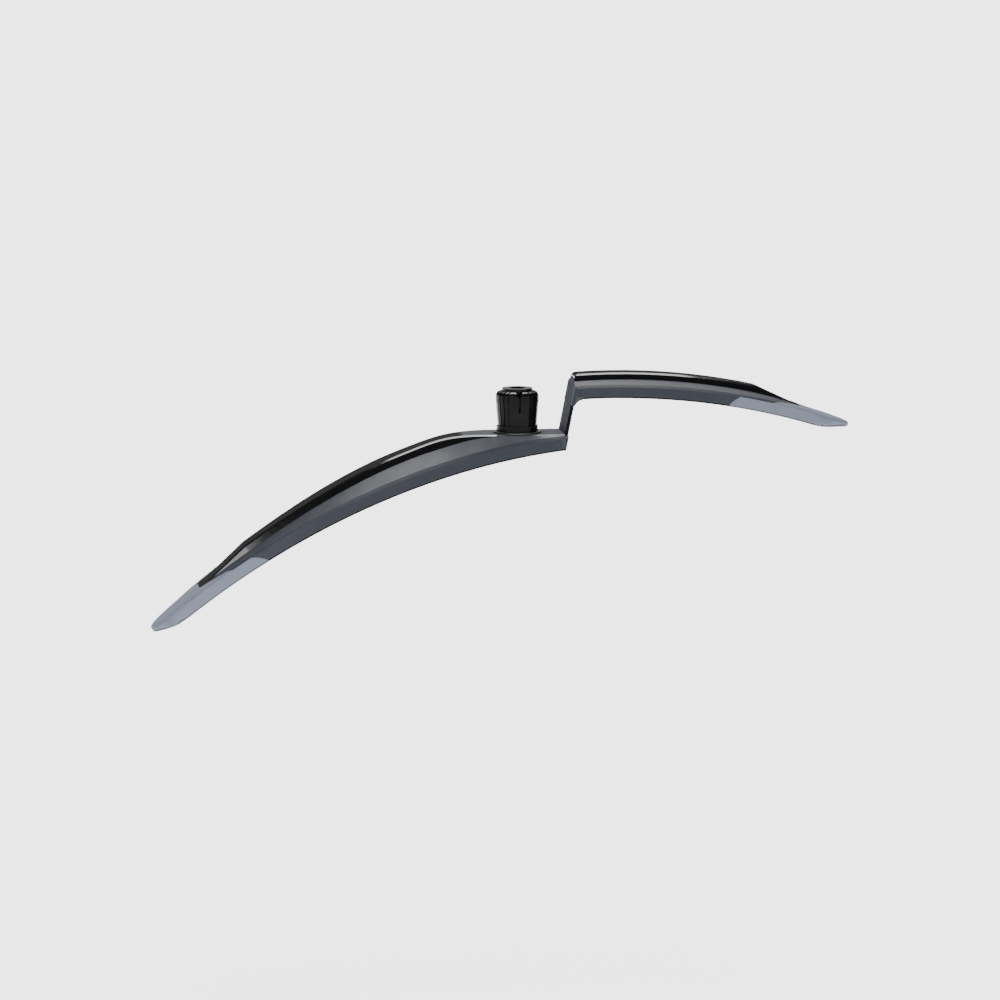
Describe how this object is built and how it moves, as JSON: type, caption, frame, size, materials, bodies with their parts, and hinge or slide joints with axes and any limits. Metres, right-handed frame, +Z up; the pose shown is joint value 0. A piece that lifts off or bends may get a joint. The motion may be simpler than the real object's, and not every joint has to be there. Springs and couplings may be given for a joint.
{
  "type": "bicycle mudguard",
  "caption": "Stepped front mudguard for a mountain bike: a ridged, faceted blade with soft grey tips, held in the fork's steerer tube by a screw-tightened expander plug.",
  "frame": {"origin": "on the plug's axis, in the plane of the flange ring that meets the underside of the fork crown", "axes": "+Z up along the plug's axis into the steerer tube, +X forward along the guard, symmetric about Y = 0"},
  "size_m": [0.464, 0.059, 0.1682],
  "materials": {
    "blade": "moulded, satin on the side facets and gloss on the raised ridge",
    "soft_tip": "soft moulded, matt grey",
    "plug": "moulded, satin black",
    "steel": "plated"
  },
  "bodies": {
    "guard": {"blade": "blade", "rear_tip": "soft_tip", "front_tip": "soft_tip", "plug_base": "plug", "expander_sleeve": "plug", "screw_washer": "steel"},
    "screw": {"clamp_screw": "steel"},
    "wedge": {"expander_wedge": "plug", "wedge_nut": "steel"}
  },
  "joints": [
    {"name": "screw_turn", "type": "hinge", "parent": "guard", "child": "screw", "pos_m": [0, 0, 0], "axis": [0, 0, 1], "range_deg": [-1080, 1080]},
    {"name": "wedge_draw", "type": "slide", "parent": "guard", "child": "wedge", "axis": [0, 0, 1], "range_m": [-0.003, 0.003]}
  ],
  "couplings": [
    {"joint": "screw_turn", "follows": "wedge_draw", "rad_per_m": -6283.2}
  ]
}
